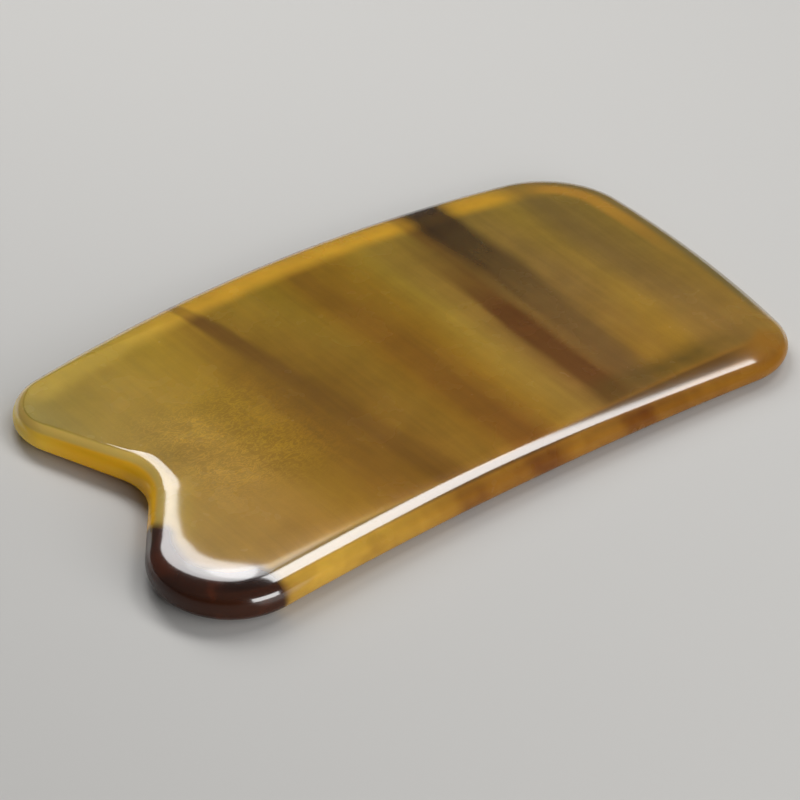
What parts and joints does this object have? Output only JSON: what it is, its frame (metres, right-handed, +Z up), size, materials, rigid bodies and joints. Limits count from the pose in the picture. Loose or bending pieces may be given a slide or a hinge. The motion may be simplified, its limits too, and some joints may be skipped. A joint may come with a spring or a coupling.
{
  "type": "gua sha scraper",
  "caption": "Hand-held massage board of polished ox horn, with a notched end, a straight end, a blunt grip edge and a thin bowed scraping edge.",
  "frame": {"origin": "centre of the board's bounding box, at the flat back face that it lies on", "axes": "+X along the board towards the straight end, -X towards the notched end; +Y across it towards the thin scraping edge, -Y towards the thick grip edge; +Z up out of the front face"},
  "size_m": [0.105, 0.0634, 0.0065],
  "materials": {
    "horn": "polished"
  },
  "bodies": {
    "root": {"horn_board": "horn"}
  },
  "joints": []
}
